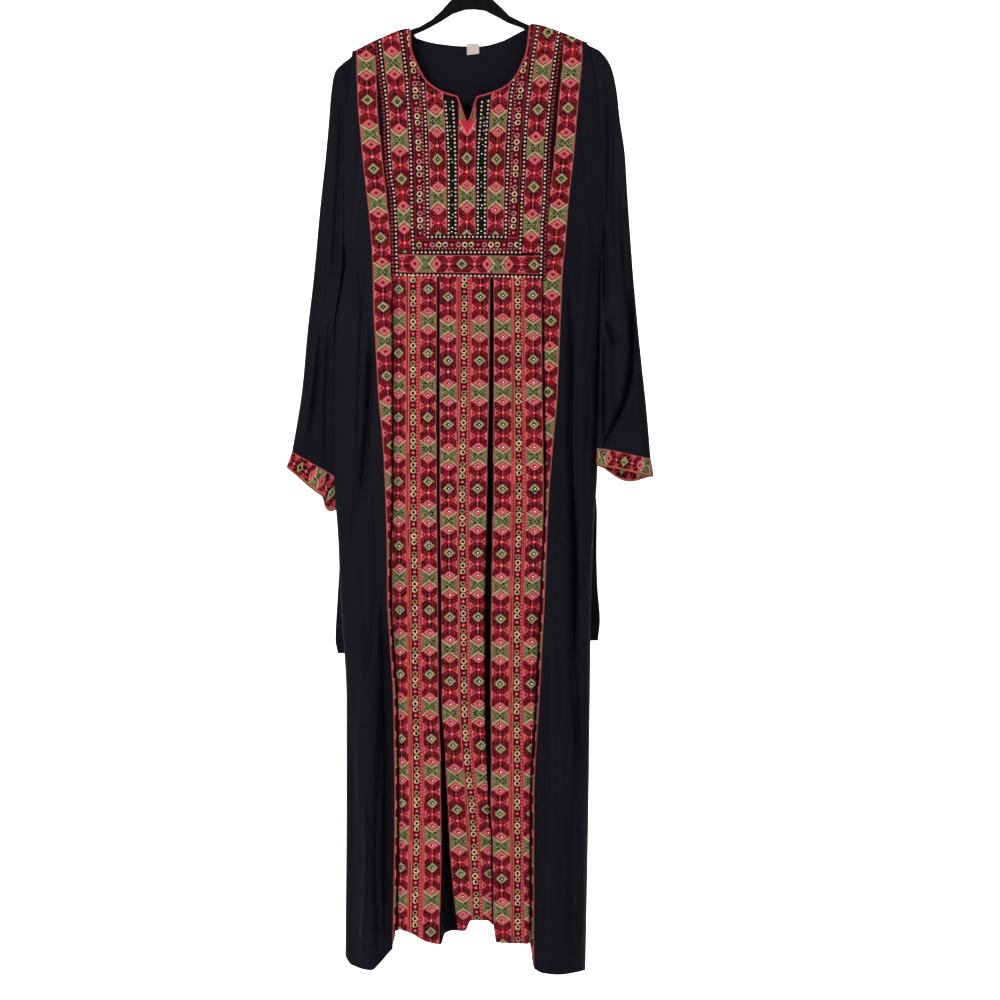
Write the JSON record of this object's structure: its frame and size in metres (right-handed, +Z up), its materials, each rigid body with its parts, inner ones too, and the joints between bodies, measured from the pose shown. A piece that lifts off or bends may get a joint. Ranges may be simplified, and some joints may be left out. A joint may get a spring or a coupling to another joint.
{
  "type": "thobe dress on a hanger",
  "caption": "Long black thobe dress with a cross-stitched front, pleated skirt panel and embroidered cuffs, hanging on a slim velvet hanger.",
  "frame": {"origin": "inside top of the hanger's hook, where a rail or a peg holds it, on the hanger's middle plane", "axes": "+Z up, the front of the dress faces -Y, +X is to the right as seen from the front"},
  "size_m": [0.5735, 0.1005, 1.6091],
  "materials": {
    "crepe": "matt blue-black crepe",
    "embroidery": "dense cotton cross-stitch in crimson, coral, olive and green",
    "binding": "satin braid",
    "label": "woven tape, bare",
    "velvet": "flocked velvet on a rigid core",
    "hook": "bright plated wire"
  },
  "bodies": {
    "root": {"chest_panel": "embroidery", "front_strip_left_chest": "embroidery", "front_strip_left_skirt": "embroidery", "front_strip_right_chest": "embroidery", "front_strip_right_skirt": "embroidery", "front_skirt_left_hip": "embroidery", "front_skirt_left_hem": "embroidery", "front_skirt_middle_hip": "embroidery", "front_skirt_middle_hem": "embroidery", "front_skirt_right_hip": "embroidery", "front_skirt_right_hem": "embroidery", "side_front_left_chest": "crepe", "side_front_left_hip": "crepe", "side_front_left_hem": "crepe", "side_front_right_chest": "crepe", "side_front_right_hip": "crepe", "side_front_right_hem": "crepe", "back_right_chest": "crepe", "back_right_hip": "crepe", "back_right_hem": "crepe", "back_middle_right_chest": "crepe", "back_middle_right_hip": "crepe", "back_middle_right_hem": "crepe", "back_middle_left_chest": "crepe", "back_middle_left_hip": "crepe", "back_middle_left_hem": "crepe", "back_left_chest": "crepe", "back_left_hip": "crepe", "back_left_hem": "crepe", "sleeve_left_front_upper": "crepe", "sleeve_left_front_elbow": "crepe", "sleeve_left_front_lower": "crepe", "sleeve_left_back_upper": "crepe", "sleeve_left_back_elbow": "crepe", "sleeve_left_back_lower": "crepe", "sleeve_right_front_upper": "crepe", "sleeve_right_front_elbow": "crepe", "sleeve_right_front_lower": "crepe", "sleeve_right_back_upper": "crepe", "sleeve_right_back_elbow": "crepe", "sleeve_right_back_lower": "crepe", "cuff_left_front": "embroidery", "cuff_left_back": "embroidery", "cuff_right_front": "embroidery", "cuff_right_back": "embroidery", "neck_binding": "binding", "neck_label": "label", "tie_left": "crepe", "tie_right": "crepe", "hanger_body": "velvet", "hanger_hook": "hook"}
  },
  "joints": []
}
